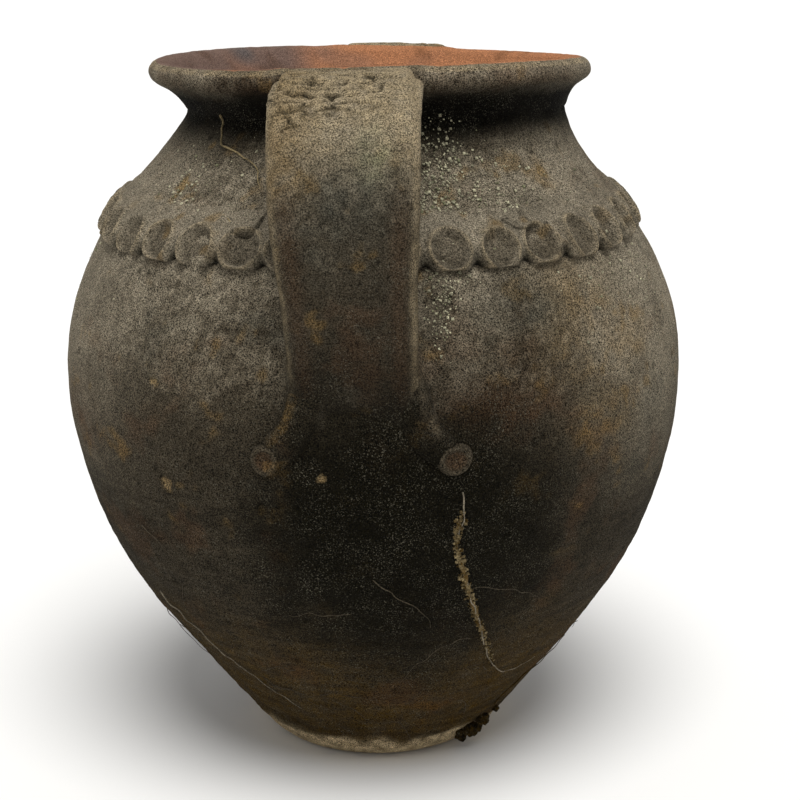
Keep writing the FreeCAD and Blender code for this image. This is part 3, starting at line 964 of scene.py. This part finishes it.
def build_root(place, turn, side_name, side):
    places = np.array([(ROOT_TURN + side * t, h * MM, p * MM) for t, h, p in COIL_PLACES])
    even = np.array([DEGREE_AT_BELLY, 1, 1])
    path = smooth_path(places * even, 1.0 * MM) / even
    centre, normal = on_wall(np.radians(path[:, 0] + turn), path[:, 1])
    centre = centre + normal * path[:, 2:]
    beside = beside_path(centre, normal)
    ring = ring_of(48)
    normals = about_path(beside, normal, ring)
    along = np.linspace(0, 1, len(path))[:, None]
    size = 5.9 * MM - 0.7 * MM * bump(along, 0.75, 0.2) - 2.0 * MM * (1 - smooth_step(along, 0.0, 0.35))
    points = centre[:, None] + normals * (size * (1 - 0.15 * np.abs(np.sin(ring))[None]))[..., None]
    swell = melt(wall_gap(points), 15 * MM, wall_facing(points, normals))
    carved = -MM * 0.5 * pits(points, 4, 0.15, 84)
    moved = hand_built_foot(points + normals * (lumps(points, 0.8) + swell + carved)[..., None])
    radial = turn_of(points)
    tone = skin_tone(points, radial, "root", carved)
    # Painted highlight: a thin light line along one flank of each coil.
    ridge_highlight = bump(np.cos(ring - math.radians(90 - side * 52)), 1.0, 0.07)[None] * (0.8 if side < 0 else 1.0)
    ridge_highlight = ridge_highlight * smooth_step(noise(points, 9, 85), -1.1, 0.3) * bump(along, 0.55, 0.42)
    tone = blended(tone, "ochre" if side < 0 else "clay", ridge_highlight * (0.48 + 0.5 * noise(points, 5, 88)))
    name = f"root_coil_{place}_{side_name}"
    capped_tube(name + "_skin", moved, tone, smoked, "smoked_clay", [name])


# A pellet's section from its middle outwards, as radius and how proud it stands, in mm
PELLET_SECTION = [
    (0.2, 2.3), (3.0, 2.6), (5.0, 3.3), (6.3, 3.9), (7.2, 3.4), (7.8, 1.8), (8.4, 0.2), (9.0, -1.5),
]
PELLET_TURN, PELLET_HEIGHT = 15.3, 202.5 * MM


def build_pellet(place, turn, side_name, side):
    """A pellet pressed with a fingertip: a dished face inside a raised round edge."""
    path = smooth_path(np.array(PELLET_SECTION) * MM, 0.45 * MM)
    ring = ring_of(96)
    seat_turn = np.array(ROOT_TURN + side * PELLET_TURN + turn)
    seat, normal = on_wall(np.radians(seat_turn), np.array(PELLET_HEIGHT))
    east = np.array([-normal[1], normal[0], 0]) / math.hypot(normal[0], normal[1])
    north = np.cross(normal, east)
    radius = path[:, :1] * (1 + 0.06 * np.sin(2 * ring + side) + 0.03 * np.sin(3 * ring))[None]
    if side < 0:
        radius = radius * 0.93
    around = np.cos(ring)[None, :, None] * east + np.sin(ring)[None, :, None] * north
    points = seat + radius[..., None] * around
    points = points - normal * (wall_gap(points) - path[:, 1:])[..., None]
    relief = lumps(points, 0.5) + MM * 0.28 * noise(points, 3.5, 87)
    moved = hand_built_foot(points + normal * relief[..., None])
    radial = turn_of(points)
    tone = skin_tone(points, radial, "pellet", relief * 0)
    dish = (1 - smooth_step(path[:, :1], 3.5 * MM, 6 * MM)) + 0 * radius
    tone = blended(tone, "rust", 0.32 * dish)
    tone = blended(tone, "clay", 0.34 * bump(path[:, :1], 6.6 * MM, 1.2 * MM) + 0 * radius)
    rows, columns = points.shape[:2]
    vertices = np.concatenate([moved.reshape(-1, 3), [moved[0].mean(0)]])
    first = np.arange(columns)
    fan = np.stack([np.full(columns, rows * columns), first, np.roll(first, -1)], axis=-1)
    faces = grid_faces(rows, columns)[:, ::-1]
    colours = np.concatenate([tone.reshape(-1, 3), tone[0, :1]])
    name = f"pellet_{place}_{side_name}"
    item = new_object(name + "_skin", vertices, [faces, fan], None, colours)
    piece(item, smoked, "smoked_clay", [name])


for handle_place, handle_turn in HANDLE_TURNS.items():
    build_strap(handle_place, handle_turn)
    for coil_side, sign in (("left", -1), ("right", 1)):
        build_root(handle_place, handle_turn, coil_side, sign)
        build_pellet(handle_place, handle_turn, coil_side, sign)


# ---------------------------------------------------------------- dried mud, rootlets and lime

# About how far a degree runs round the wall
DEGREE_ON_WALL = 2.6 * MM


def surface_run(corners, step, proud):
    """A path on the wall through (turn, height in mm) corners, as points and wall normals."""
    corners = np.array(corners, float) * np.array([DEGREE_ON_WALL, MM])
    path = smooth_path(corners, step) / np.array([DEGREE_ON_WALL, 1])
    points, normals = on_wall(np.radians(path[:, 0]), path[:, 1])
    return hand_built(points + normals * proud), normals


def build_thread(name, corners, radius, colour, wander):
    """A rootlet lying on the wall."""
    points, normals = surface_run(corners, 1.1 * MM, 0.6 * MM)
    points = points + wander * MM * np.stack([noise(points, 9, 90 + k) for k in range(3)], axis=-1)
    beside = beside_path(points, normals)
    ring = ring_of(7)
    around = about_path(beside, normals, ring)
    thick = radius * (1 - 0.6 * np.linspace(0, 1, len(points)) ** 2) * (1 + 0.3 * noise(points, 4, 94))
    tube = points[:, None] + around * thick[:, None, None]
    tone = paint(colour) * (0.9 + 0.35 * noise(tube, 6, 95))[..., None]
    capped_tube(name, tube, tone, muddy, "dried_mud")


# Rootlets as (turn, height in mm) corners, with their radius in mm and colour
THREADS = [
    ([(-44.7, 356.7), (-43.6, 348), (-31, 337.4), (-25.5, 333.4), (-21.5, 323.6)], 0.55, "bone"),
    ([(-27.5, 310.6), (-25.6, 308.2), (-23.7, 305.4)], 0.42, "bone"),
    ([(18.9, 186), (19.4, 176), (18.6, 158)], 0.40, "dust_and_painted_light"),
    ([(20.9, 136), (24.1, 115), (27.5, 97), (33.0, 76), (42.0, 62), (54.0, 66)], 0.40, "dust_and_painted_light"),
    ([(52, 30), (56, 42), (62, 58), (66, 70)], 0.35, "earth"),
    ([(-50, 108), (-43, 84), (-36, 66), (-30, 52), (-22, 40)], 0.36, "dust_and_painted_light"),
    ([(-30, 62), (-18, 55), (-6, 58), (4, 53)], 0.26, "clay"),
    ([(-44, 152), (-38, 140), (-36, 128)], 0.26, "clay"),
    ([(4, 140), (8, 128), (13, 118), (15, 108)], 0.26, "clay"),
    ([(120, 210), (128, 190), (131, 168)], 0.34, "dust_and_painted_light"),
    ([(-140, 118), (-131, 96), (-120, 82)], 0.32, "dust_and_painted_light"),
]
for strand in range(26):
    key = np.array([[strand, 5, 9]])
    chance = [float(hashed(key, 150 + k)[0]) for k in range(5)]
    start_turn, start_height = 360 * chance[0] - 180, 28 + 120 * chance[1]
    run = (6 + 12 * chance[2]) * (1 if chance[3] > 0.5 else -1)
    fall = 5 + 26 * chance[4]
    corners = [(start_turn + run * t, start_height - fall * t * t) for t in (0, 0.4, 0.7, 1)]
    THREADS.append((corners, 0.2, "clay"))
for thread_number, (thread_corners, thread_radius, thread_colour) in enumerate(THREADS):
    build_thread(f"rootlet_{thread_number + 1}", thread_corners, thread_radius * MM, thread_colour, 1.2)


# The mud trail, as (turn, height in mm) corners
TRAIL = [
    (19.3, 174.8), (18.5, 166), (18.5, 157), (19.6, 146), (20.9, 136), (22.4, 125), (24.1, 115),
    (26.2, 104), (28.5, 93.7), (31.0, 84), (34.2, 74),
]


def build_mud_trail():
    """A crust of dried mud that a root has drawn down the wall."""
    points, normals = surface_run(TRAIL, 0.7 * MM, 0.0)
    beside = beside_path(points, normals)
    along = np.linspace(0, 1, len(points))
    half = 0.6 + 1.0 * np.sin(math.pi * along) ** 0.6 + 0.7 * noise(points, 9, 101)
    half = MM * (half + 0.4 * noise(points, 3, 102))
    half = np.maximum(0.75 * half, 0.35 * MM) * (1 - 0.75 * along**5)
    ring = ring_of(22)
    rise = np.where(np.sin(ring) > 0, 0.62, 0.30)
    shift = beside * (MM * 1.1 * noise(points, 7, 103))[:, None]
    tube = (points + shift)[:, None] + np.cos(ring)[None, :, None] * beside[:, None] * half[:, None, None]
    tube = tube + (np.sin(ring) * rise)[None, :, None] * normals[:, None] * half[:, None, None]
    rough = MM * (0.5 * noise(tube, 2.4, 104) + 0.42 * noise(tube, 1.2, 105))
    tube = tube + normals[:, None] * rough[..., None]
    tone = blended(paint("bone") + 0 * tube, "earth", 0.62 + 0.75 * noise(tube, 3, 106))
    tone = blended(tone, "ochre", 0.35 + 0.5 * noise(tube, 9, 107))
    capped_tube("mud_trail", tube, tone * 0.85, muddy, "dried_mud")


# Lumps of the clod at the foot, as turn, height and radius, in mm
CLODS = [
    (47, 15, 4.4), (50, 21, 3.6), (52, 12, 3.4), (45, 9, 3.0), (55, 17, 2.8), (49, 6, 2.4), (58, 23, 2.2),
    (42, 13, 2.2),
]


def build_clod():
    """A crumb of earth that hangs on roots at the foot."""
    steps, columns = 26, 40
    lift = np.linspace(0.02, math.pi - 0.02, steps)[:, None]
    ring = ring_of(columns)[None]
    ball = [np.sin(lift) * np.cos(ring), np.sin(lift) * np.sin(ring), -np.cos(lift) + 0 * ring]
    ball = np.stack(ball, axis=-1)
    for number, (turn, height, radius) in enumerate(CLODS):
        seat, normal = on_wall(np.radians(np.array(float(turn))), np.array(height * MM))
        centre = hand_built(seat + normal * (radius * 0.45) * MM)
        points = centre + ball * radius * MM
        swell = 0.34 * noise(points, 3.2, 111) + 0.22 * noise(points, 1.4, 112)
        points = centre + ball * (radius * MM * (1 + swell))[..., None]
        points[..., 2] = np.maximum(points[..., 2], 0.3 * MM)
        tone = blended(paint("earth") + 0 * points, "soot_and_shade", 0.5 + 0.6 * noise(points, 2.5, 113))
        capped_tube(f"clod_{number + 1}", points, tone, muddy, "dried_mud")


# Where lime and lichen have settled: turn, height, reach across (degrees) and up (mm), how many
CRUST = [
    (20, 328, 8, 24, 640), (18, 300, 6, 22, 620), (16.5, 270, 2.5, 20, 200), (32, 318, 14, 22, 420),
    (-42, 320, 14, 22, 220), (60, 285, 20, 30, 260), (150, 300, 40, 40, 420), (-120, 290, 50, 45, 420),
]


def build_grains(name, turns, heights, sizes, tones):
    """Grains stuck to the wall, each a small rough crumb."""
    corner = np.array([(x, y, z) for x in (-1, 1) for y in (-1, 1) for z in (-1, 1)], float)
    quads = np.array([(0, 1, 3, 2), (4, 6, 7, 5), (0, 4, 5, 1), (2, 3, 7, 6), (0, 2, 6, 4), (1, 5, 7, 3)])
    seats, normals = on_wall(np.radians(turns), heights)
    seats = hand_built(seats + normals * 0.25 * MM)
    east = np.cross(np.array([0, 0, 1.0]), normals)
    east /= np.linalg.norm(east, axis=1, keepdims=True)
    north = np.cross(normals, east)
    count = len(turns)
    keys = np.stack(np.meshgrid(np.arange(count), np.arange(8), [3], indexing="ij"), axis=-1)[:, :, 0]
    rough = [0.55 + 0.75 * hashed(keys, 130 + k) for k in range(3)]
    along_east = (corner[:, 0] * rough[0])[..., None] * east[:, None]
    along_north = (corner[:, 1] * rough[1])[..., None] * north[:, None]
    along_normal = (corner[:, 2] * rough[2] * 0.6)[..., None] * normals[:, None]
    vertices = seats[:, None] + sizes[:, None, None] * (along_east + along_north + along_normal)
    faces = (quads[None] + 8 * np.arange(count)[:, None, None]).reshape(-1, 4)
    item = new_object(name, vertices.reshape(-1, 3), faces, None, np.repeat(tones, 8, axis=0))
    piece(item, muddy, "dried_mud")


def picks(count, group, many):
    keys = np.stack([np.arange(count), np.full(count, group), np.zeros(count, int)], axis=-1)
    return [hashed(keys, 120 + k) for k in range(many)]


def build_crust():
    """Lime and lichen that have settled on the wall."""
    turns, heights, sizes, tones = [], [], [], []
    for group, (turn, height, wide, tall, count) in enumerate(CRUST):
        pick = picks(count, group, 5)
        spread = np.sqrt(-2 * np.log(pick[0] + 0.02)) * 0.55
        turns.append(turn + wide * spread * np.cos(TAU * pick[1]))
        heights.append((height + tall * spread * np.sin(TAU * pick[1])) * MM)
        sizes.append(MM * (0.14 + 0.60 * pick[2] ** 4))
        pale = paint("lime") * (0.55 + 0.65 * pick[4][:, None])
        tones.append(np.where(pick[3][:, None] < 0.15, paint("lichen"), pale))
    build_grains("lime_crust", *(np.concatenate(part) for part in (turns, heights, sizes, tones)))


def build_crumbs():
    """Crumbs of earth along the mud trail."""
    corners = np.array(TRAIL, float)
    count = 520
    pick = picks(count, 40, 6)
    along = pick[0] ** 0.85 * (len(corners) - 1)
    turns = np.interp(along, np.arange(len(corners)), corners[:, 0]) + 0.55 * (pick[1] + pick[2] - 1) * 2.1
    heights = np.interp(along, np.arange(len(corners)), corners[:, 1]) * MM + (pick[3] - 0.5) * 2.5 * MM
    sizes = MM * (0.22 + 0.85 * pick[4] ** 3) * (1.1 - 0.6 * pick[0])
    tones = paint("earth") + (paint("bone") - paint("earth")) * (pick[5][:, None] ** 1.6)
    build_grains("mud_crumbs", turns, heights, sizes, tones)


build_mud_trail()
build_clod()
build_crust()
build_crumbs()


# ---------------------------------------------------------------- floor, light and camera

def plain(name, colour, roughness):
    material = bpy.data.materials.new(name)
    material.use_nodes = True
    shader = material.node_tree.nodes["Principled BSDF"]
    shader.inputs["Base Color"].default_value = (*colour, 1)
    shader.inputs["Roughness"].default_value = roughness
    return material


bpy.ops.mesh.primitive_plane_add(size=60, location=(0, 0, 0))
floor = bpy.context.object
floor.name = "floor"
floor.data.materials.append(plain("pale_floor", (0.86, 0.86, 0.85), 0.9))

world = bpy.data.worlds.new("studio")
bpy.context.scene.world = world
world.use_nodes = True
world.node_tree.nodes["Background"].inputs["Color"].default_value = (1.0, 0.99, 0.98, 1)
world.node_tree.nodes["Background"].inputs["Strength"].default_value = 0.42


def soft_light(name, aim, strength, width):
    """A wide soft light, as from an overcast sky, that shines along aim."""
    data = bpy.data.lights.new(name, "SUN")
    data.energy, data.angle = strength, math.radians(width)
    data.color = (1.0, 0.99, 0.975)
    item = bpy.data.objects.new(name, data)
    item.rotation_euler = Vector(aim).to_track_quat("-Z", "Y").to_euler()
    bpy.context.scene.collection.objects.link(item)


soft_light("sky_light", (-0.10, 0.40, -1.0), 2.95, 36)

CAMERA_TURN, CAMERA_REACH, CAMERA_HEIGHT = math.radians(4.7), 0.9358, 0.4283
CAMERA_DOWN, CAMERA_ASIDE, CAMERA_ROLL = math.radians(14.31), math.radians(0.865), math.radians(0.415)
camera_data = bpy.data.cameras.new("camera")
camera_data.lens, camera_data.sensor_width = 76.9, 36
camera_data.clip_start, camera_data.clip_end = 0.01, 100
camera = bpy.data.objects.new("camera", camera_data)
bpy.context.scene.collection.objects.link(camera)
heading = CAMERA_TURN - CAMERA_ASIDE
ahead = Vector((-math.sin(heading), math.cos(heading), 0)) * math.cos(CAMERA_DOWN)
ahead -= Vector((0, 0, 1)) * math.sin(CAMERA_DOWN)
right = ahead.cross(Vector((0, 0, 1))).normalized()
above = right.cross(ahead)
right, above = (
    right * math.cos(CAMERA_ROLL) - above * math.sin(CAMERA_ROLL),
    above * math.cos(CAMERA_ROLL) + right * math.sin(CAMERA_ROLL),
)
pose = Matrix((right, above, -ahead)).transposed().to_4x4()
pose.translation = Vector(
    (CAMERA_REACH * math.sin(CAMERA_TURN), -CAMERA_REACH * math.cos(CAMERA_TURN), CAMERA_HEIGHT)
)
camera.matrix_world = pose
bpy.context.scene.camera = camera
bpy.context.scene.view_settings.view_transform = "Standard"
